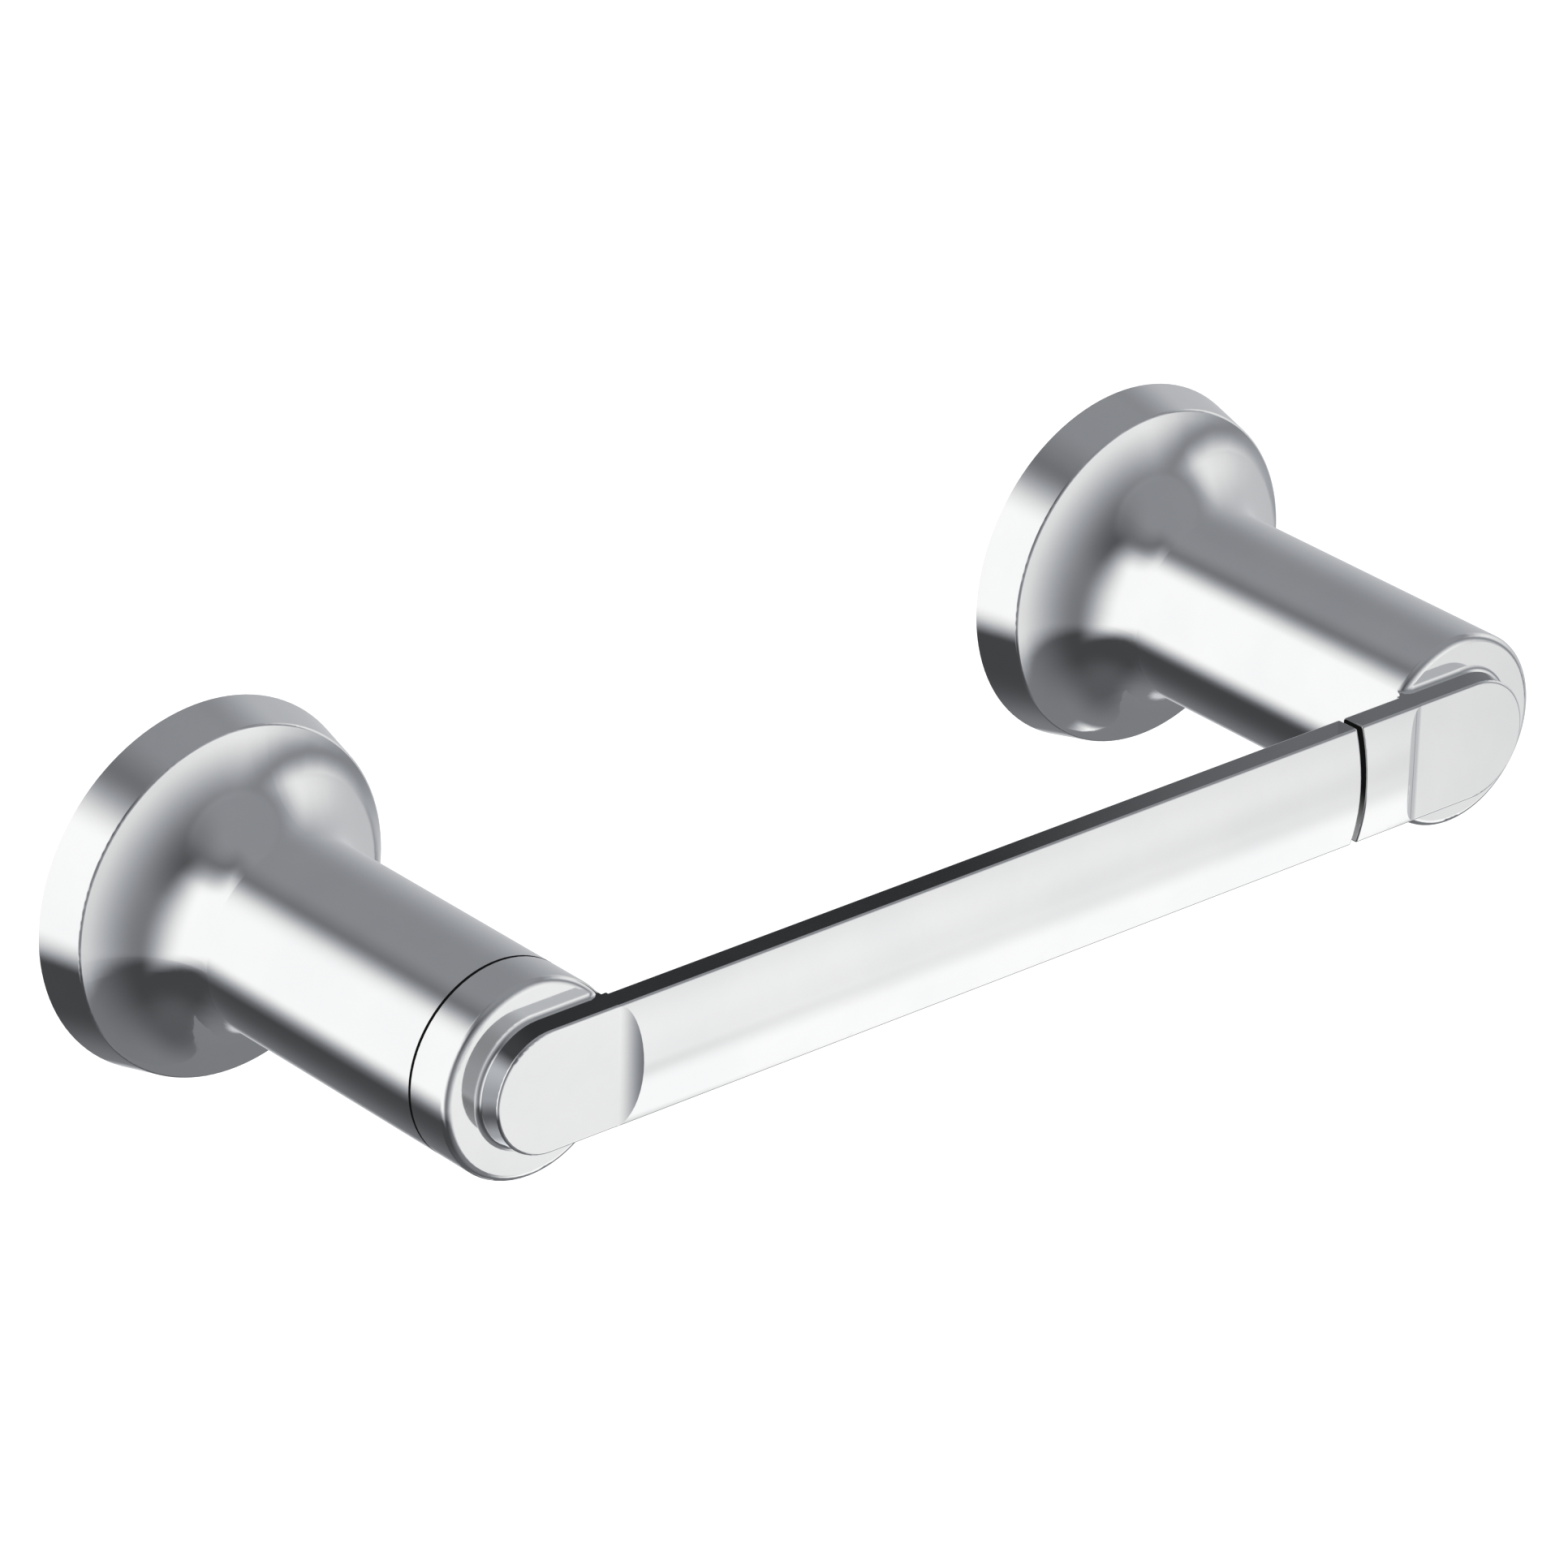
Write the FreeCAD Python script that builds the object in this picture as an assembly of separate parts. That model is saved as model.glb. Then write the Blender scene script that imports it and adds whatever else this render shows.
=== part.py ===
import FreeCAD, Part
import math
import os

# Wall-mounted toilet paper holder with a lift-up roll arm, in millimetres.
# +X runs along the roll bar to its free end, +Y points into the wall and +Z is up.
# The wall is the plane y = 0. The origin lies on it, midway between the two post axes.
# "reach" is the distance out from the wall, so y = -reach.

V = FreeCAD.Vector
OUTWARD = V(0, -1, 0)
DOWN = V(0, 0, -1)
CUT = 1.0  # how far a cutting tool runs past the surface that it opens
TINY = 1e-3  # two sizes closer than this are the same

# Posts
POST_SPACING = 165.0
LEFT_X = -POST_SPACING / 2
RIGHT_X = POST_SPACING / 2
POST_R = 14.3
POST_REACH = 69.9  # wall to the flat front faces
FACE_EDGE_R = 1.1
WALL = 2.4  # casting thickness of the posts

# Flange at the wall: a tapered rim, then a cove that flares into the post
FLANGE_BACK_R = 26.85
RIM_FRONT_R = 25.25
RIM_REACH = 6.8
RIM_EDGE_R = 0.4
COVE_END = 20.0
COVE_R = ((COVE_END - RIM_REACH) ** 2 + (RIM_FRONT_R - POST_R) ** 2) / (2 * (RIM_FRONT_R - POST_R))
CUP_R = 23.0  # the socket in the flange's back that takes the bracket

# Seam between the left post and the end cap that turns on it
SEAM_REACH = 62.5
SEAM_GAP = 0.3
POST_END = SEAM_REACH - SEAM_GAP / 2
CAP_BACK = SEAM_REACH + SEAM_GAP / 2
BULKHEAD = 8.0  # front wall of the left post, which carries the pivot bush
BULKHEAD_BACK = POST_END - BULKHEAD
RIGHT_CAVITY_END = POST_REACH - 3.9

# Roll bar: flat back and sides, crowned front, flat pads at both ends
BAR_HALF_HEIGHT = 8.9
PAD_REACH = 73.8
CROWN = 1.4
BAR_FRONT_EDGE_R = 0.4
BAR_BACK_EDGE_R = 0.6
END_EDGE_R = 0.25
ROOT_R = 0.9  # fillet between the bar's sides and the post's front face
CROWN_EDGE_DROP = 0.05  # the crown's virtual corner lies this far behind the pad
PAD_END = POST_SPACING / 2 - 71.5  # pad length, measured from the post axis
PAD_BLEND_R = 4.3  # concave blend from the pad up to the crown
FREE_END_X = 59.3
STUB_X = 60.3

# Pivot of the arm
SWING = 90.0  # degrees from the level bar to the lifted bar
STUD_R = 4.0
STUD_THREAD_R = 2.5
THREAD_HOLE_R = STUD_THREAD_R + 0.05
RUNNING_PLAY = 0.05
BUSH_R = 6.0
THRUST_SEAT_R = 8.6
THRUST_SEAT_DEPTH = 1.2
THRUST_WASHER_R = 8.4
THRUST_WASHER_PROUD = 0.2
WASHER_BORE_R = 4.3
STUD_THREAD_DEPTH = 5.8

# Stop: a pin in the post that runs in an arc slot in the back of the cap
STOP_ANGLE = 135.0  # where the pin stands, counted from +X towards +Z
STOP_RADIUS = 11.2
STOP_PIN_R = 1.25
STOP_PIN_DEPTH = 6.0
STOP_PIN_PROUD = 2.0
STOP_PLAY = 0.1
STOP_SLOT_DEPTH = 2.1

# Parts behind the bulkhead
SPRING_WASHER_R = 8.0
SPRING_WASHER_HEIGHT = 1.3
SPRING_WASHER_THICKNESS = 0.6
SPRING_PLAY = 0.05
RETAINING_WASHER_R = 7.5
RETAINING_WASHER_THICKNESS = 1.2
SHOULDER_BACK = BULKHEAD_BACK - SPRING_WASHER_HEIGHT - 2 * SPRING_PLAY
NUT_FRONT = SHOULDER_BACK - RETAINING_WASHER_THICKNESS
NUT_FLATS = 8.0
NUT_HEIGHT = 5.0
NUT_COLLAR_R = 3.6
NUT_COLLAR_HEIGHT = 1.4
STUD_TAIL = 1.0  # thread that shows past the nut

# Wall brackets
BRACKET_R = 22.6
BRACKET_WAIST_R = 20.9
BRACKET_DEPTH = 4.5
BRACKET_LIP = 0.6
WEB = 2.2
DISH_R = 19.0
SCREW_HOLE_R = 2.25
SCREW_SPACING = 26.0

# Set screws in the underside of the flanges
SET_SCREW_REACH = 3.2
SET_SCREW_R = 2.0
SET_SCREW_PLAY = 0.05
SET_SCREW_TIP = 21.95  # radius of the point, against the bracket's bevel
SET_SCREW_END = 25.6
SOCKET_FLATS = 2.0
SOCKET_DEPTH = 1.4


def disc(x, radius, back, front):
    """Cylinder about a post axis between two reaches."""
    return Part.makeCylinder(radius, front - back, V(x, -back, 0), OUTWARD)


def ring(x, outer, inner, back, front):
    """Flat ring about a post axis."""
    return disc(x, outer, back, front).cut(disc(x, inner, back - CUT, front + CUT))


def hexagon(x, flats, back, front):
    """Hexagonal prism about a post axis."""
    corner_r = flats / math.sqrt(3)
    corners = [V(x + corner_r * math.cos(k * math.pi / 3), -back, corner_r * math.sin(k * math.pi / 3))
               for k in range(7)]
    return Part.Face(Part.makePolygon(corners)).extrude(OUTWARD * (front - back))


def turned(x, edges):
    """Solid turned about a post axis from edges in the half plane of (radius, reach)."""
    return Part.Face(Part.Wire(edges)).revolve(V(x, 0, 0), OUTWARD, 360)


def half_plane(x):
    """Maker of points in the half plane of one post."""
    return lambda radius, reach: V(x + radius, -reach, 0)


def polyline(points):
    """Straight edges from point to point."""
    return [Part.LineSegment(a, b).toShape() for a, b in zip(points, points[1:])]


def turned_corners(x, corners):
    """Solid turned about a post axis from straight-sided (radius, reach) corners."""
    place = half_plane(x)
    points = [place(radius, reach) for radius, reach in corners]
    return turned(x, polyline(points + points[:1]))


def circle_edges(solid, radius, reach):
    """The circular edges of a turned solid at one radius and reach."""
    round_edges = [edge for edge in solid.Edges if isinstance(edge.Curve, Part.Circle)]
    return [edge for edge in round_edges
            if abs(edge.Curve.Radius - radius) < TINY and abs(edge.Curve.Center.y + reach) < TINY]


def cove_arc(place, radius, start_r):
    """Arc about the cove's centre from start_r in to the post, as seen in one half plane."""
    centre_r = POST_R + COVE_R
    sweep = math.acos((centre_r - start_r) / radius)
    on_arc = [place(centre_r - radius * math.cos(a), COVE_END - radius * math.sin(a))
              for a in (sweep, sweep / 2, 0)]
    return Part.Arc(*on_arc).toShape(), on_arc[0], on_arc[2]


def post_outside(x, front):
    """Flange, cove and post as one full solid."""
    place = half_plane(x)
    arc, rim, post = cove_arc(place, COVE_R, RIM_FRONT_R)
    back = polyline([place(0, 0), place(FLANGE_BACK_R, 0), rim])
    shaft = polyline([post, place(POST_R, front), place(0, front), place(0, 0)])
    solid = turned(x, back + [arc] + shaft)
    return solid.makeFillet(RIM_EDGE_R, circle_edges(solid, RIM_FRONT_R, RIM_REACH))


def post_cavity(x, end):
    """Hollow of a post: the bracket's socket, then the cored inside at an even wall."""
    place = half_plane(x)
    arc, rim, bore = cove_arc(place, COVE_R + WALL, CUP_R)
    back = polyline([place(0, -CUT), place(CUP_R, -CUT), rim])
    core = polyline([bore, place(POST_R - WALL, end), place(0, end), place(0, -CUT)])
    return turned(x, back + [arc] + core)


def set_screw_hole(x):
    """Tapped hole through the underside of a flange."""
    length = FLANGE_BACK_R - DISH_R
    return Part.makeCylinder(SET_SCREW_R, length, V(x, -SET_SCREW_REACH, -DISH_R), DOWN)


def set_screw(x):
    """Cone-point grub screw with a hexagon socket, pointing up at the bracket's bevel."""
    radius = SET_SCREW_R - SET_SCREW_PLAY
    body_start = SET_SCREW_TIP + radius
    body_length = SET_SCREW_END - body_start
    tip = Part.makeCone(0, radius, radius, V(x, -SET_SCREW_REACH, -SET_SCREW_TIP), DOWN)
    body = Part.makeCylinder(radius, body_length, V(x, -SET_SCREW_REACH, -body_start), DOWN)
    socket = hexagon(x, SOCKET_FLATS, 0, SOCKET_DEPTH + CUT)
    socket.rotate(V(x, 0, 0), V(1, 0, 0), 90)
    socket.translate(V(0, -SET_SCREW_REACH, SOCKET_DEPTH - SET_SCREW_END))
    return tip.fuse(body).cut(socket).removeSplitter()


def bracket(x):
    """Dished wall bracket with a bevelled rim for the set screw and two screw holes."""
    bevel_top = BRACKET_DEPTH - BRACKET_LIP
    bevel_foot = bevel_top - (BRACKET_R - BRACKET_WAIST_R)
    back = [(0, 0), (BRACKET_WAIST_R, 0), (BRACKET_WAIST_R, bevel_foot)]
    rim = [(BRACKET_R, bevel_top), (BRACKET_R, BRACKET_DEPTH), (DISH_R, BRACKET_DEPTH)]
    solid = turned_corners(x, back + rim + [(DISH_R, WEB), (0, WEB)])
    for z in (-SCREW_SPACING / 2, SCREW_SPACING / 2):
        solid = solid.cut(Part.makeCylinder(SCREW_HOLE_R, WEB + 2 * CUT, V(x, CUT, z), OUTWARD))
    return solid


def stadium(x_round, x_flat, back, front):
    """Block with the bar's outline: round about a post axis at x_round, square at x_flat."""
    half = BAR_HALF_HEIGHT
    away = math.copysign(1, x_round - x_flat)
    foot = V(x_round, -back, -half)
    head = V(x_round, -back, half)
    round_end = Part.Arc(foot, V(x_round + away * half, -back, 0), head).toShape()
    sides = polyline([head, V(x_flat, -back, half), V(x_flat, -back, -half), foot])
    return Part.Face(Part.Wire([round_end] + sides)).extrude(OUTWARD * (front - back))


def rounded_corner(before, corner, after, radius):
    """Arc of a radius in a straight-sided corner, with its two ends."""
    to_before = (before - corner).normalize()
    to_after = (after - corner).normalize()
    half_angle = to_before.getAngle(to_after) / 2
    distance = radius / math.tan(half_angle)
    start = corner + to_before * distance
    end = corner + to_after * distance
    middle_way = (to_before + to_after).normalize()
    middle = corner + middle_way * (radius / math.sin(half_angle) - radius)
    return Part.Arc(start, middle, end).toShape(), start, end


def crowned_bar(x_from, x_to):
    """Bar with a crowned front and rounded long edges, between two planes across it."""
    edge_reach = PAD_REACH - CROWN_EDGE_DROP
    crown_reach = PAD_REACH + CROWN
    half = BAR_HALF_HEIGHT
    sagitta = crown_reach - edge_reach
    crown_r = (half ** 2 + sagitta ** 2) / (2 * sagitta)
    slope = half / math.sqrt(crown_r ** 2 - half ** 2)
    edges = []
    crown_ends = []
    back_ends = []
    for z in (-half, half):
        inward = V(0, 0, -math.copysign(1, z))
        front = V(x_from, -edge_reach, z)
        on_crown = front + inward + OUTWARD * slope
        front_arc, front_side, crown_end = rounded_corner(front - OUTWARD, front, on_crown,
                                                          BAR_FRONT_EDGE_R)
        back = V(x_from, -POST_REACH, z)
        back_arc, back_side, back_end = rounded_corner(back + OUTWARD, back, back + inward,
                                                       BAR_BACK_EDGE_R)
        edges += [front_arc, back_arc] + polyline([front_side, back_side])
        crown_ends.append(crown_end)
        back_ends.append(back_end)
    edges += polyline(back_ends)
    edges.append(Part.Arc(crown_ends[0], V(x_from, -crown_reach, 0), crown_ends[1]).toShape())
    bar = Part.Face(Part.Wire(Part.__sortEdges__(edges))).extrude(V(x_to - x_from, 0, 0))
    cut_edges = [edge for edge in bar.Edges
                 if edge.BoundBox.XLength < TINY and abs(edge.BoundBox.XMin - x_to) < TINY]
    return bar.makeFillet(END_EDGE_R, cut_edges)


def pad_cutter(x_post):
    """What is milled off the crown: flat over the pad, then a concave blend towards mid bar."""
    inward = -math.copysign(1, x_post)
    far = PAD_REACH + PAD_BLEND_R
    start = V(x_post + inward * PAD_END, -PAD_REACH, -2 * BAR_HALF_HEIGHT)
    lean = PAD_BLEND_R * math.sin(math.pi / 4)
    middle = start + V(inward * lean, lean - PAD_BLEND_R, 0)
    end = start + V(inward * PAD_BLEND_R, -PAD_BLEND_R, 0)
    outer = V(x_post - inward * 2 * BAR_HALF_HEIGHT, 0, start.z)
    sides = polyline([end, V(outer.x, -far, start.z), V(outer.x, -PAD_REACH, start.z), start])
    face = Part.Face(Part.Wire([Part.Arc(start, middle, end).toShape()] + sides))
    return face.extrude(V(0, 0, 4 * BAR_HALF_HEIGHT))


def bar_end(x_post, x_cut):
    """The bar in front of a post, from its round end to x_cut, with a foot that sinks into the post."""
    inward = -math.copysign(1, x_post)
    pad_edge = x_post + inward * PAD_END
    pad = stadium(x_post, pad_edge + inward, POST_REACH, PAD_REACH)
    front_edges = [edge for edge in pad.Edges
                   if edge.BoundBox.YMax < TINY - PAD_REACH and edge.BoundBox.XLength > TINY]
    pad = pad.makeFillet(BAR_FRONT_EDGE_R, front_edges)
    crown = crowned_bar(pad_edge, x_cut).cut(pad_cutter(x_post))
    foot_back = POST_REACH - 2 * FACE_EDGE_R
    foot = stadium(x_post, x_post + inward * POST_R, foot_back, POST_REACH)
    foot = foot.common(disc(x_post, POST_R, foot_back - CUT, POST_REACH + CUT))
    return [pad, crown, foot]


def on_bar_outline(point, x_post):
    """Whether a point lies where the bar's round end or sides meet the rounded face of a post."""
    from_axis = math.hypot(point.x - x_post, point.z)
    beyond_axis = (point.x - x_post) * x_post > 0
    across = from_axis if beyond_axis else abs(point.z)
    on_face = POST_REACH - FACE_EDGE_R - TINY < -point.y < POST_REACH + TINY
    return on_face and from_axis < POST_R + TINY and abs(across - BAR_HALF_HEIGHT) < TINY


def with_roots(solid, x_post):
    """Fillets the line where the bar rises from a post's front face."""
    roots = []
    for edge in solid.Edges:
        middle = edge.valueAt((edge.FirstParameter + edge.LastParameter) / 2)
        points = [middle] + [vertex.Point for vertex in edge.Vertexes]
        upright = edge.BoundBox.XLength < TINY and isinstance(edge.Curve, Part.Line)
        if not upright and all(on_bar_outline(point, x_post) for point in points):
            roots.append(edge)
    return solid.makeFillet(ROOT_R, roots)


def faced(blank):
    """Rounds the front edge of a post or cap."""
    return blank.makeFillet(FACE_EDGE_R, circle_edges(blank, POST_R, POST_REACH))


def left_post():
    """Fixed left post: hollow, with a bulkhead that carries the pivot and the stop pin."""
    solid = post_outside(LEFT_X, POST_END).cut(post_cavity(LEFT_X, BULKHEAD_BACK))
    solid = solid.cut(set_screw_hole(LEFT_X))
    solid = solid.cut(disc(LEFT_X, BUSH_R, BULKHEAD_BACK - CUT, POST_END + CUT))
    solid = solid.cut(disc(LEFT_X, THRUST_SEAT_R, POST_END - THRUST_SEAT_DEPTH, POST_END + CUT))
    return solid.cut(stop_cylinder(STOP_PIN_R, POST_END - STOP_PIN_DEPTH, POST_END + CUT))


def right_post():
    """Right post in one casting with the stub that meets the arm's free end."""
    solid = faced(post_outside(RIGHT_X, POST_REACH))
    solid = with_roots(solid.fuse(bar_end(RIGHT_X, STUB_X)).removeSplitter(), RIGHT_X)
    return solid.cut(post_cavity(RIGHT_X, RIGHT_CAVITY_END)).cut(set_screw_hole(RIGHT_X))


def stop_cylinder(radius, back, front):
    """Cylinder on the stop pin's own axis."""
    angle = math.radians(STOP_ANGLE)
    x = LEFT_X + STOP_RADIUS * math.cos(angle)
    return Part.makeCylinder(radius, front - back, V(x, -back, STOP_RADIUS * math.sin(angle)), OUTWARD)


def stop_slot():
    """Arc slot that the stop pin travels in as the arm swings."""
    radius = STOP_PIN_R + STOP_PLAY
    back = CAP_BACK - CUT
    front = CAP_BACK + STOP_SLOT_DEPTH
    inner = STOP_RADIUS - radius
    outer = STOP_RADIUS + radius
    place = half_plane(LEFT_X)
    corners = [place(inner, back), place(outer, back), place(outer, front), place(inner, front)]
    section = Part.Face(Part.Wire(polyline(corners + corners[:1])))
    centre = V(LEFT_X, 0, 0)
    section.rotate(centre, OUTWARD, STOP_ANGLE - SWING)
    slot = section.revolve(centre, OUTWARD, SWING)
    far_end = stop_cylinder(radius, back, front)
    near_end = far_end.copy()
    near_end.rotate(centre, OUTWARD, -SWING)
    return slot.fuse([far_end, near_end])


def swing_arm():
    """End cap and roll bar in one casting."""
    blank = faced(disc(LEFT_X, POST_R, COVE_END, POST_REACH))
    solid = with_roots(blank.fuse(bar_end(LEFT_X, FREE_END_X)).removeSplitter(), LEFT_X)
    solid = solid.cut(disc(LEFT_X, POST_R + CUT, COVE_END - CUT, CAP_BACK))
    hole_end = CAP_BACK + STUD_THREAD_DEPTH + CUT
    return solid.cut(disc(LEFT_X, THREAD_HOLE_R, CAP_BACK - CUT, hole_end)).cut(stop_slot())


def pivot_stud():
    """Axle of the arm: threaded into the cap, a plain shoulder, and a threaded tail for the nut."""
    shoulder = disc(LEFT_X, STUD_R, SHOULDER_BACK, CAP_BACK)
    front = disc(LEFT_X, STUD_THREAD_R, CAP_BACK - CUT, CAP_BACK + STUD_THREAD_DEPTH)
    tail = disc(LEFT_X, STUD_THREAD_R, NUT_FRONT - NUT_HEIGHT - STUD_TAIL, SHOULDER_BACK + CUT)
    return shoulder.fuse([front, tail]).removeSplitter()


def pivot_bush():
    """Plain bush pressed into the bulkhead, flush with the washer seat."""
    return ring(LEFT_X, BUSH_R, STUD_R + RUNNING_PLAY, BULKHEAD_BACK, POST_END - THRUST_SEAT_DEPTH)


def thrust_washer():
    """Slippery washer in the post's front face that the cap turns against."""
    return ring(LEFT_X, THRUST_WASHER_R, WASHER_BORE_R, POST_END - THRUST_SEAT_DEPTH,
                POST_END + THRUST_WASHER_PROUD)


def stop_pin():
    """Pin pressed into the post's front face."""
    return stop_cylinder(STOP_PIN_R, POST_END - STOP_PIN_DEPTH, POST_END + STOP_PIN_PROUD)


def spring_washer():
    """Coned washer that takes up the end play behind the bulkhead."""
    rim = BULKHEAD_BACK - SPRING_PLAY
    bore = rim - SPRING_WASHER_HEIGHT
    thick = SPRING_WASHER_THICKNESS
    return turned_corners(LEFT_X, [(SPRING_WASHER_R, rim), (SPRING_WASHER_R, rim - thick),
                                   (WASHER_BORE_R, bore), (WASHER_BORE_R, bore + thick)])


def retaining_washer():
    """Flat washer clamped between the stud's shoulder and the nut."""
    return ring(LEFT_X, RETAINING_WASHER_R, THREAD_HOLE_R, NUT_FRONT, SHOULDER_BACK)


def lock_nut():
    """Hexagon nut with a locking collar on its back."""
    back = NUT_FRONT - NUT_HEIGHT
    body = hexagon(LEFT_X, NUT_FLATS, back + NUT_COLLAR_HEIGHT, NUT_FRONT)
    collar = disc(LEFT_X, NUT_COLLAR_R, back, back + NUT_COLLAR_HEIGHT + CUT)
    return body.fuse(collar).cut(disc(LEFT_X, THREAD_HOLE_R, back - CUT, NUT_FRONT + CUT))


PARTS = {
    "left_post": left_post,
    "right_post": right_post,
    "swing_arm": swing_arm,
    "left_bracket": lambda: bracket(LEFT_X),
    "right_bracket": lambda: bracket(RIGHT_X),
    "left_set_screw": lambda: set_screw(LEFT_X),
    "right_set_screw": lambda: set_screw(RIGHT_X),
    "pivot_bush": pivot_bush,
    "thrust_washer": thrust_washer,
    "stop_pin": stop_pin,
    "pivot_stud": pivot_stud,
    "spring_washer": spring_washer,
    "retaining_washer": retaining_washer,
    "lock_nut": lock_nut,
}

os.makedirs("parts", exist_ok=True)
for name, build in PARTS.items():
    shape = build()
    shape.exportStep(f"parts/{name}.step")
    print(f"{name}: valid {shape.isValid()}, solids {len(shape.Solids)}, volume {shape.Volume:.1f} mm3")
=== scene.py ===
import math

import bpy
from mathutils import Matrix, Vector


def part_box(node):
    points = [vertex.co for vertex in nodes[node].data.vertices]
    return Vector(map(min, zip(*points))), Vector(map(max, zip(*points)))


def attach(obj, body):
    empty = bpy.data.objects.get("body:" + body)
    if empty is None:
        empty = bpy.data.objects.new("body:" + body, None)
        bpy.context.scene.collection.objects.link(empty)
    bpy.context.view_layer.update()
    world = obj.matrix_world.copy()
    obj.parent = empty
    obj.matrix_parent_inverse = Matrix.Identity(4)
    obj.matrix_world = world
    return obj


# Looks of the wall-mounted toilet paper holder, in metres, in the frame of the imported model.
# +X runs along the roll bar to its free end, +Y points into the wall and +Z is up.

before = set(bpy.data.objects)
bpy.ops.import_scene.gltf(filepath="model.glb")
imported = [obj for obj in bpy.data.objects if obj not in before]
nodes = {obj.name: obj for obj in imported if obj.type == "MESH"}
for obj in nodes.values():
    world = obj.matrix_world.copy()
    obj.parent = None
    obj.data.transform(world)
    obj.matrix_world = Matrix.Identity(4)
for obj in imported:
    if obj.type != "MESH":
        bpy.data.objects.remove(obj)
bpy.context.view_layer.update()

DEG = math.pi / 180
MM = 0.001

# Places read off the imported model
POST_X = (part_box("right_bracket")[0].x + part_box("right_bracket")[1].x) / 2
SEAM_REACH = -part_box("left_post")[0].y + 0.15 * MM  # middle of the 0.3 mm seam
FREE_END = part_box("swing_arm")[1].x
STUB_END = FREE_END + 1.0 * MM
GAP_X = (FREE_END + STUB_END) / 2
PAD_REACH = 73.8 * MM
FACE_REACH = 69.9 * MM
BAR_HALF = 8.9 * MM
FLANGE_R = 25.25 * MM
POST_R = 14.3 * MM


# ---------------------------------------------------------------- node helpers


class Tree:
    """Short calls for building a shader node tree."""

    def __init__(self, owner):
        owner.use_nodes = True
        self.nodes = owner.node_tree.nodes
        self.links = owner.node_tree.links
        self.nodes.clear()

    def new(self, kind, **settings):
        node = self.nodes.new("ShaderNode" + kind)
        for name, value in settings.items():
            setattr(node, name, value)
        return node

    def put(self, socket, value):
        """Links an output into a socket, or writes a plain value on it."""
        if isinstance(value, bpy.types.NodeSocket):
            self.links.new(value, socket)
        else:
            socket.default_value = value

    def math(self, operation, *values):
        node = self.new("Math", operation=operation)
        for socket, value in zip(node.inputs, values):
            self.put(socket, value)
        return node.outputs[0]

    def smooth(self, value, low, high, start=0.0, end=1.0):
        """Eases from start to end as value goes from low to high."""
        node = self.new("MapRange", interpolation_type="SMOOTHSTEP")
        for name, number in zip(("Value", "From Min", "From Max", "To Min", "To Max"),
                                (value, low, high, start, end)):
            self.put(node.inputs[name], number)
        return node.outputs["Result"]

    def blend(self, factor, low, high):
        """low where factor is 0 and high where it is 1, for plain numbers."""
        node = self.new("Mix", data_type="FLOAT")
        for socket, value in zip((node.inputs[0], node.inputs[2], node.inputs[3]), (factor, low, high)):
            self.put(socket, value)
        return node.outputs[0]

    def tint(self, factor, low, high):
        """low where factor is 0 and high where it is 1, for colours."""
        node = self.new("Mix", data_type="RGBA")
        for socket, value in zip((node.inputs[0], node.inputs[6], node.inputs[7]), (factor, low, high)):
            self.put(socket, value)
        return node.outputs[2]

    def split(self, vector):
        node = self.new("SeparateXYZ")
        self.put(node.inputs[0], vector)
        return node.outputs

    def noise(self, coordinates, size, detail=2.0, roughness=0.5):
        """Even noise between 0 and 1, with blotches of about one size in metres."""
        node = self.new("TexNoise")
        self.put(node.inputs["Vector"], coordinates)
        node.inputs["Scale"].default_value = 1 / size
        node.inputs["Detail"].default_value = detail
        node.inputs["Roughness"].default_value = roughness
        return node.outputs["Fac"]

    def mix_shaders(self, factor, first, second):
        node = self.new("MixShader")
        for socket, value in zip(node.inputs, (factor, first.outputs[0], second.outputs[0])):
            self.put(socket, value)
        return node


def colour(red, green=None, blue=None):
    return (red, red if green is None else green, red if blue is None else blue, 1.0)


# ---------------------------------------------------------------- studio

# What polished metal sees, by compass bearing and height in degrees. Bearing 0 looks straight out from
# the wall, 90 to the free end of the bar and -90 to its pivot.
BRIGHTEN = 1.17  # makes up for what the plating takes from each reflection
DOME = 0.26  # even ceiling, above DOME_FROM
DOME_FROM, DOME_SOFT = 47, 4
GAP, BACK = 0.19, 0.25  # open room, darkest at bearing GAP_BEARING
GAP_BEARING, GAP_FADE = -45, 80
FLOOR_NEAR, FLOOR_FAR, FLOOR_BELOW = 0.057, 0.20, 0.10  # darkest at bearing FLOOR_DARK
FLOOR_DARK, FLOOR_FADE = -98, 42
BELOW, BELOW_SOFT = -68, 14
HORIZON, HORIZON_SOFT = -33, 5
ROOM_TINT = colour(0.93, 0.96, 1.02)  # the room is a little cooler than the lamps
# centre bearing, (reach, softness) to the left and right, (height, softness and, where it leans, the rise
# of the foot per degree to the left) of the foot and (height, softness) of the head, level
SOFT_BOXES = {
    "dark surround": (-107, (51, 22), (84, 48), (22, 22), (62, 20), 0.08),
    "key": (-114, (36, 12), (36, 25), (-30, 9, 0.18), (46, 16), 0.94),
    "front": (22, (27, 49), (25, 12), (-32, 5), (20, 36), 0.87),
    "right": (91, (24, 12), (25, 34), (-15, 19), (32, 15), 0.80),
    "right floor": (111, (38, 2), (65, 32), (-38, 5), (-1, 27), 0.52),
    "low": (52, (12, 5), (17, 3), (-52, 3), (-28, 12), 0.95),
}
ROOM_LIGHT = 0.75  # plain level that lights every dull surface
LAMP_PLACE = Vector((-0.6, -1.0, 1.1))
LAMP_SIZE = 1.2
LAMP_POWER = 5.0
FLOOR_Z = -0.65
FLOOR_SIZE = 8.0


def edge(tree, value, centre, softness):
    """Rises from 0 to 1 across a soft edge."""
    return tree.smooth(value, centre - softness, centre + softness)


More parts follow.
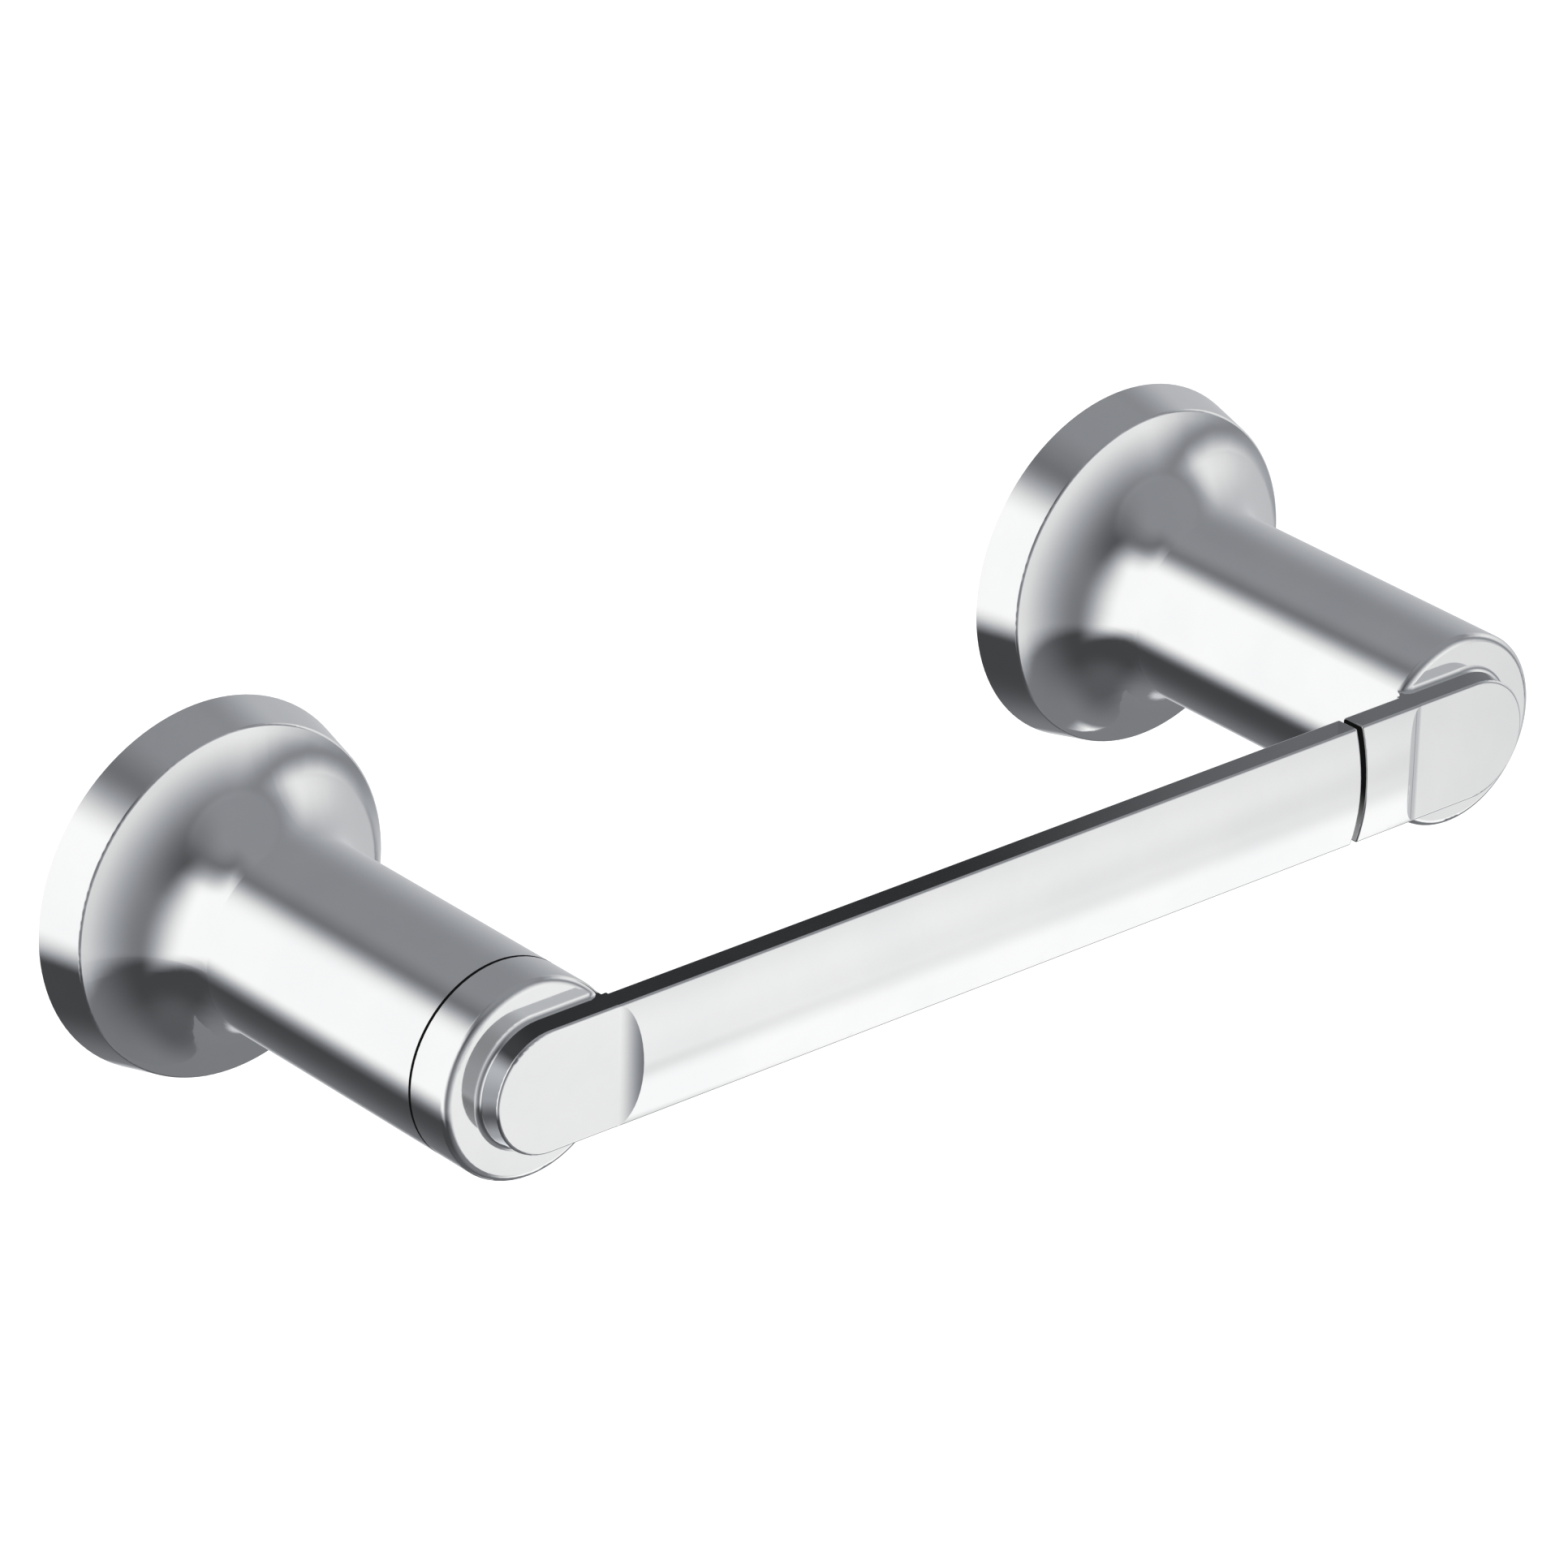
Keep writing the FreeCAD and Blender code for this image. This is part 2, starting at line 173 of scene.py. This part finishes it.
def past(tree, value, centre, softness):
    """Falls from 1 to 0 across a soft edge."""
    return tree.smooth(value, centre - softness, centre + softness, 1.0, 0.0)


def turn_from(tree, bearing, centre):
    """Bearing counted from centre, between -180 and 180."""
    shifted = tree.math("ADD", bearing, 180.0 - centre)
    return tree.math("SUBTRACT", tree.math("FLOORED_MODULO", shifted, 360.0), 180.0)


def soft_box(tree, below, bearing, height, box):
    centre, left, right, foot, head, level = box
    turn = turn_from(tree, bearing, centre)
    across = tree.math("MULTIPLY", edge(tree, turn, -left[0], left[1]), past(tree, turn, *right))
    lean = foot[2] if len(foot) == 3 else 0.0
    from_foot = tree.math("ADD", height, tree.math("MULTIPLY", turn, lean))
    upward = tree.math("MULTIPLY", edge(tree, from_foot, *foot[:2]), past(tree, height, *head))
    return tree.blend(tree.math("MULTIPLY", across, upward), below, level)


def mirrored_level(tree):
    """Brightness that a polished surface sees in each direction."""
    x, y, z = tree.split(tree.new("TexCoord").outputs["Generated"])
    bearing = tree.math("DEGREES", tree.math("ARCTAN2", x, tree.math("MULTIPLY", y, -1.0)))
    height = tree.math("DEGREES", tree.math("ARCSINE", z))
    from_dark = tree.math("ABSOLUTE", turn_from(tree, bearing, FLOOR_DARK))
    floor = tree.smooth(from_dark, 90 - FLOOR_FADE, 90 + FLOOR_FADE, FLOOR_NEAR, FLOOR_FAR)
    floor = tree.blend(edge(tree, height, BELOW, BELOW_SOFT), FLOOR_BELOW, floor)
    from_gap = tree.math("ABSOLUTE", turn_from(tree, bearing, GAP_BEARING))
    room = tree.smooth(from_gap, 90 - GAP_FADE, 90 + GAP_FADE, GAP, BACK)
    level = tree.blend(edge(tree, height, HORIZON, HORIZON_SOFT), floor, room)
    level = tree.blend(edge(tree, height, DOME_FROM, DOME_SOFT), level, DOME)
    for box in SOFT_BOXES.values():
        level = soft_box(tree, level, bearing, height, box)
    return level


def studio_world():
    """White to the camera, the studio to polished metal, and one plain level to everything else."""
    world = bpy.data.worlds.new("studio")
    bpy.context.scene.world = world
    tree = Tree(world)
    level = mirrored_level(tree)
    white, plain, mirrored = (tree.new("Background") for _ in range(3))
    white.inputs["Color"].default_value = colour(1.0)
    plain.inputs["Color"].default_value = colour(1.0)
    plain.inputs["Strength"].default_value = ROOM_LIGHT
    tree.put(mirrored.inputs["Color"], tree.tint(tree.smooth(level, 0.3, 0.7), ROOM_TINT, colour(1.0)))
    tree.put(mirrored.inputs["Strength"], tree.math("MULTIPLY", level, BRIGHTEN))
    rays = tree.new("LightPath").outputs
    unseen = tree.mix_shaders(rays["Is Glossy Ray"], plain, mirrored)
    shown = tree.mix_shaders(rays["Is Camera Ray"], unseen, white)
    tree.put(tree.new("OutputWorld").inputs[0], shown.outputs[0])


def add_object(name, data):
    thing = bpy.data.objects.new(name, data)
    bpy.context.scene.collection.objects.link(thing)
    return thing


def sheet_object(name, corners, faces, material):
    mesh = bpy.data.meshes.new(name)
    mesh.from_pydata(corners, [], faces)
    mesh.materials.append(material)
    thing = add_object(name, mesh)
    return thing


def floor():
    """Pale floor at the usual depth below the holder. It is open from underneath, for views from there."""
    material = bpy.data.materials.new("floor")
    tree = Tree(material)
    pale = tree.new("BsdfDiffuse")
    pale.inputs["Color"].default_value = colour(0.9)
    lift = tree.new("Emission")
    tree.put(lift.inputs["Strength"], tree.math("MULTIPLY", tree.new("LightPath").outputs["Is Camera Ray"], 0.5))
    lit = tree.new("AddShader")
    tree.put(lit.inputs[0], pale.outputs[0])
    tree.put(lit.inputs[1], lift.outputs[0])
    open_below = tree.mix_shaders(tree.new("NewGeometry").outputs["Backfacing"], lit, tree.new("BsdfTransparent"))
    tree.put(tree.new("OutputMaterial").inputs[0], open_below.outputs[0])
    half = FLOOR_SIZE / 2
    corners = [(-half, -half, FLOOR_Z), (half, -half, FLOOR_Z), (half, half, FLOOR_Z), (-half, half, FLOOR_Z)]
    sheet_object("floor", corners, [(0, 1, 2, 3)], material).visible_glossy = False


def lamp():
    data = bpy.data.lights.new("lamp", "AREA")
    data.size = LAMP_SIZE
    data.energy = LAMP_POWER
    thing = add_object("lamp", data)
    thing.location = LAMP_PLACE
    thing.rotation_mode = "QUATERNION"
    thing.rotation_quaternion = (-LAMP_PLACE).to_track_quat("-Z", "Y")
    thing.visible_glossy = False


# ---------------------------------------------------------------- cards that only polished metal sees

NEAR = 14 * MM
LIP_R = FLANGE_R + 0.8 * MM
# level of the card at angles round the end of the arm, counted from the top
LEFT_END = (0, 0.035), (38, 0.06), (60, 0.55), (88, 0.40), (110, 0.12), (135, 0.40), (158, 0.95)
RIGHT_END = (0, 0.16), (40, 0.19), (55, 0.5)

def for_mirrors_only(thing):
    thing.visible_camera = False
    thing.visible_diffuse = False
    thing.visible_transmission = False
    thing.visible_volume_scatter = False
    thing.visible_shadow = False


def seen_close_by(tree, shader, share=1.0):
    """Output of a shader whose front only surfaces within NEAR mirror."""
    close = tree.math("LESS_THAN", tree.new("LightPath").outputs["Ray Length"], NEAR)
    front = tree.math("SUBTRACT", 1.0, tree.new("NewGeometry").outputs["Backfacing"])
    amount = tree.math("MULTIPLY", close, tree.math("MULTIPLY", front, share))
    shown = tree.mix_shaders(amount, tree.new("BsdfTransparent"), shader)
    tree.put(tree.new("OutputMaterial").inputs[0], shown.outputs[0])


def outline(side, radius, inner, turn_end=180, step=5):
    """Points (x, z) of the arm's outline from the plane x = inner round a post's axis, from the top down."""
    points = [(inner, radius)]
    for k in range(turn_end // step + 1):
        angle = k * step * DEG
        points.append((side * (POST_X + radius * math.sin(angle)), radius * math.cos(angle)))
    return points


def end_card(name, side, near_gap, along, end_levels, width):
    """Dark card round the arm's end, just behind its walls, that darkens what the walls mirror."""
    material = bpy.data.materials.new(name)
    tree = Tree(material)
    x, _, z = tree.split(tree.new("TexCoord").outputs["Object"])
    beyond = tree.math("MULTIPLY", tree.math("SUBTRACT", x, side * POST_X), float(side))
    turn = tree.math("DEGREES", tree.math("ARCTAN2", tree.math("MAXIMUM", beyond, 0.0), z))
    ramp = tree.new("ValToRGB")
    ramp.color_ramp.interpolation = "EASE"
    for k, (angle, level) in enumerate(end_levels):
        stops = ramp.color_ramp.elements
        stop = stops[k] if k < 2 else stops.new(1.0)
        stop.position, stop.color = angle / 180, colour(level)
    tree.put(ramp.inputs[0], tree.math("DIVIDE", turn, 180.0))
    level = tree.blend(tree.smooth(x, *along), near_gap, ramp.outputs[0])
    glow = tree.new("Emission")
    glow.inputs["Color"].default_value = ROOM_TINT
    tree.put(glow.inputs["Strength"], level)
    seen_close_by(tree, glow)
    y = 0.4 * MM - FACE_REACH
    near_line = outline(side, BAR_HALF + 0.03 * MM, GAP_X, end_levels[-1][0])
    far_line = outline(side, BAR_HALF + width, GAP_X, end_levels[-1][0])
    rows = (near_line, far_line)[::-side]  # this order turns the front away from the wall
    corners = [(x, y, z) for pair in zip(*rows) for x, z in pair]
    faces = [(2 * k, 2 * k + 1, 2 * k + 3, 2 * k + 2) for k in range(len(near_line) - 1)]
    card = sheet_object(name, corners, faces, material)
    for_mirrors_only(card)
    return card


def ring(name, side, turns, inner, outer, level):
    """Grey ring below a post's axis that the flange's cove mirrors.

    It spans the turns, in degrees from straight down, between two circles of given (radius, reach).
    """
    material = bpy.data.materials.new(name)
    tree = Tree(material)
    x, _, z = tree.split(tree.new("TexCoord").outputs["Object"])
    turn = tree.math("DEGREES", tree.math("ARCTAN2", tree.math("SUBTRACT", x, side * POST_X),
                                          tree.math("MULTIPLY", z, -1.0)))
    glow = tree.new("Emission")
    glow.inputs["Color"].default_value = ROOM_TINT
    glow.inputs["Strength"].default_value = level
    first, last = turns
    share = tree.math("MULTIPLY", edge(tree, turn, first + 8.0, 8.0), past(tree, turn, last - 8.0, 8.0))
    seen_close_by(tree, glow, share)
    angles = [(first + (last - first) * k / 24) * DEG for k in range(25)]
    corners = [(side * POST_X + radius * math.sin(a), -reach, -radius * math.cos(a))
               for a in angles for radius, reach in (inner, outer)]
    faces = [(2 * k, 2 * k + 1, 2 * k + 3, 2 * k + 2) for k in range(24)]
    card = sheet_object(name, corners, faces, material)
    for_mirrors_only(card)
    return card


def pad_wall(name, side):
    """The pad's wall as the post's flat face mirrors it."""
    material = bpy.data.materials.new(name)
    tree = Tree(material)
    polish = tree.new("BsdfGlossy")
    polish.inputs["Color"].default_value = CHROME_HIGH
    polish.inputs["Roughness"].default_value = 0.06
    sheen = tree.new("Emission")
    sheen.inputs["Strength"].default_value = 0.14
    both = tree.new("AddShader")
    tree.put(both.inputs[0], polish.outputs[0])
    tree.put(both.inputs[1], sheen.outputs[0])
    close = tree.math("LESS_THAN", tree.new("LightPath").outputs["Ray Length"], NEAR)
    tree.put(tree.new("OutputMaterial").inputs[0],
             tree.mix_shaders(close, tree.new("BsdfTransparent"), both).outputs[0])
    radius = BAR_HALF - 0.03 * MM
    inner = side * (POST_X - POST_R)
    line = outline(side, radius, inner) + [(inner, -radius)]
    corners = [(x, -reach, z) for x, z in line for reach in (FACE_REACH, PAD_REACH - 0.4 * MM)]
    faces = [(2 * k, 2 * k + 1, 2 * k + 3, 2 * k + 2) for k in range(len(line) - 1)]
    wall = sheet_object(name, corners, faces, material)
    for face in wall.data.polygons:
        face.use_smooth = True
    for_mirrors_only(wall)
    return wall


# ---------------------------------------------------------------- materials


def surface(material):
    """A fresh tree with its Principled shader, and the part's own coordinates and normal."""
    tree = Tree(material)
    shader = tree.new("BsdfPrincipled")
    shader.inputs["Metallic"].default_value = 1.0
    tree.put(tree.new("OutputMaterial").inputs[0], shader.outputs[0])
    places = tree.new("TexCoord").outputs
    return tree, shader, places["Object"], places["Normal"]


def bump(tree, shader, height, depth):
    node = tree.new("Bump")
    node.inputs["Strength"].default_value = 1.0
    node.inputs["Distance"].default_value = depth
    tree.put(node.inputs["Height"], height)
    tree.put(shader.inputs["Normal"], node.outputs[0])


def between(tree, value, low, high):
    """1 where value lies between low and high, else 0."""
    above = tree.math("GREATER_THAN", value, low)
    return tree.math("MULTIPLY", above, tree.math("LESS_THAN", value, high))


def unplated(tree, places, normal):
    """1 on the cored insides of the posts, which face their axis or the wall."""
    x, y, z = tree.split(places)
    nx, ny, nz = tree.split(normal)
    side = tree.math("SIGN", x)
    from_axis = tree.math("SUBTRACT", x, tree.math("MULTIPLY", side, POST_X))
    outward = tree.math("ADD", tree.math("MULTIPLY", from_axis, nx), tree.math("MULTIPLY", z, nz))
    inside = tree.math("LESS_THAN", outward, -0.5 * MM)
    facing_wall = tree.math("GREATER_THAN", ny, 0.9)
    hidden = tree.math("MAXIMUM", inside, facing_wall)
    return tree.math("MULTIPLY", hidden, tree.math("GREATER_THAN", y, 0.5 * MM - FACE_REACH))


def joint_shade_mask(tree, places, normal):
    """1 on the faces inside the seam of the cap and inside the gap at the free end of the bar, which get painted
    shade; in the gap it eases to 0.45 towards the bottom.
    """
    x, y, z = tree.split(places)
    nx, ny, nz = tree.split(normal)
    seam = between(tree, y, -SEAM_REACH - 0.24 * MM, -SEAM_REACH + 0.24 * MM)
    seam = tree.math("MULTIPLY", seam, tree.math("LESS_THAN", x, 0.0))
    gap = between(tree, x, FREE_END - 0.3 * MM, STUB_END + 0.3 * MM)
    gap = tree.math("MULTIPLY", gap, tree.math("GREATER_THAN", tree.math("ABSOLUTE", nx), 0.9))
    gap = tree.math("MULTIPLY", gap, tree.math("LESS_THAN", y, 10 * MM - FACE_REACH))
    gap = tree.math("MULTIPLY", gap, tree.smooth(z, -BAR_HALF, 0.0, 0.45, 1.0))
    return tree.math("MAXIMUM", seam, gap)


CHROME_LOW, CHROME_HIGH = colour(0.835, 0.84, 0.845), colour(0.865, 0.868, 0.87)
RAW_ZINC = colour(0.40, 0.41, 0.43)
# painted shade: near black for the faces inside the seam and the gap
JOINT_SHADE = colour(0.012)


def chrome(material):
    """Polished plating with a faint ripple and water film, raw zinc inside and painted shade in the joint lines.
    """
    tree, shader, places, normal = surface(material)
    film = tree.noise(places, 14 * MM, 3.0)
    specks = tree.noise(places, 1.1 * MM, 2.0)
    ripple = tree.noise(places, 3.5 * MM, 1.0)
    inside = unplated(tree, places, normal)
    shaded_joints = joint_shade_mask(tree, places, normal)
    base = tree.tint(tree.smooth(film, 0.3, 0.7), CHROME_LOW, CHROME_HIGH)
    base = tree.tint(inside, base, RAW_ZINC)
    # painted shade, near black, in the seam of the cap and the gap at the end of the bar
    tree.put(shader.inputs["Base Color"], tree.tint(shaded_joints, base, JOINT_SHADE))
    rough = tree.math("ADD", tree.smooth(film, 0.35, 0.75, 0.04, 0.08),
                      tree.smooth(specks, 0.55, 0.8, 0.0, 0.05))
    rough = tree.blend(inside, rough, 0.55)
    tree.put(shader.inputs["Roughness"], tree.blend(shaded_joints, rough, 0.7))
    height = tree.math("ADD", ripple, tree.math("MULTIPLY", inside, tree.math("MULTIPLY", specks, 6.0)))
    bump(tree, shader, height, 0.004 * MM)


# low and high colour, low and high roughness, size of the grain, depth of the grain
METALS = {
    "cast_zinc": (colour(0.36, 0.37, 0.39), colour(0.50, 0.51, 0.53), 0.42, 0.62, 0.7 * MM, 0.03 * MM),
    "screw_steel": (colour(0.30, 0.30, 0.31), colour(0.42, 0.42, 0.43), 0.28, 0.45, 0.4 * MM, 0.01 * MM),
    "bush_brass": (colour(0.62, 0.44, 0.20), colour(0.76, 0.57, 0.30), 0.22, 0.38, 0.5 * MM, 0.008 * MM),
    "pin_steel": (colour(0.48, 0.48, 0.50), colour(0.60, 0.60, 0.62), 0.20, 0.36, 0.4 * MM, 0.006 * MM),
    "spring_steel": (colour(0.20, 0.19, 0.18), colour(0.32, 0.30, 0.27), 0.30, 0.45, 0.5 * MM, 0.008 * MM),
    "washer_plastic": (colour(0.72, 0.71, 0.68), colour(0.80, 0.79, 0.76), 0.38, 0.50, 0.5 * MM, 0.01 * MM),
}


def plain_stock(material, low, high, smoothest, roughest, grain, depth):
    """Metal or plastic with grain, mottled colour and uneven polish."""
    tree, shader, places, _ = surface(material)
    shader.inputs["Metallic"].default_value = 0.0 if "plastic" in material.name else 1.0
    mottle = tree.noise(places, 6 * grain, 4.0, 0.6)
    fine = tree.noise(places, grain, 3.0, 0.6)
    tree.put(shader.inputs["Base Color"], tree.tint(tree.smooth(mottle, 0.3, 0.7), low, high))
    tree.put(shader.inputs["Roughness"], tree.smooth(fine, 0.3, 0.7, smoothest, roughest))
    bump(tree, shader, fine, depth)


# ---------------------------------------------------------------- camera

TARGET = Vector((2.93, -19.75, -3.63)) * MM
YAW, PITCH, ROLL = 41.262, -26.626, 1.584
DISTANCE = 1.2815
LENS = 214.2


def camera():
    data = bpy.data.cameras.new("camera")
    data.lens = LENS
    data.sensor_width = 36.0
    data.clip_start, data.clip_end = 0.1, 50.0
    cam = add_object("camera", data)
    yaw, pitch = YAW * DEG, PITCH * DEG
    ahead = Vector((math.sin(yaw) * math.cos(pitch), math.cos(yaw) * math.cos(pitch), math.sin(pitch)))
    roll = Matrix.Rotation(ROLL * DEG, 3, "Z").to_quaternion()
    cam.rotation_mode = "QUATERNION"
    cam.rotation_quaternion = ahead.to_track_quat("-Z", "Y") @ roll
    cam.location = TARGET - ahead * DISTANCE
    bpy.context.scene.camera = cam


# ---------------------------------------------------------------- everything together

for slot_name in {node.data.materials[0].name for node in nodes.values()}:
    slot_material = bpy.data.materials[slot_name]
    if slot_name == "chrome_plate":
        chrome(slot_material)
    else:
        plain_stock(slot_material, *METALS[slot_name])

studio_world()
floor()
lamp()
for node in nodes.values():
    node.visible_glossy = False
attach(pad_wall("left_pad_wall", -1), "arm")
pad_wall("right_pad_wall", 1)
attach(end_card("arm_card", -1, 0.16, (GAP_X, -15 * MM), LEFT_END, 5.4 * MM), "arm")
end_card("stub_card", 1, 0.14, (GAP_X, POST_X - POST_R), RIGHT_END, 3.4 * MM)
for side_name, post_side in (("left", -1), ("right", 1)):
    ring(side_name + "_lip_card", post_side, (-65, 80), (LIP_R, 7.0 * MM), (LIP_R, 9.2 * MM), 0.24)
camera()
bpy.context.scene.view_settings.view_transform = "Standard"
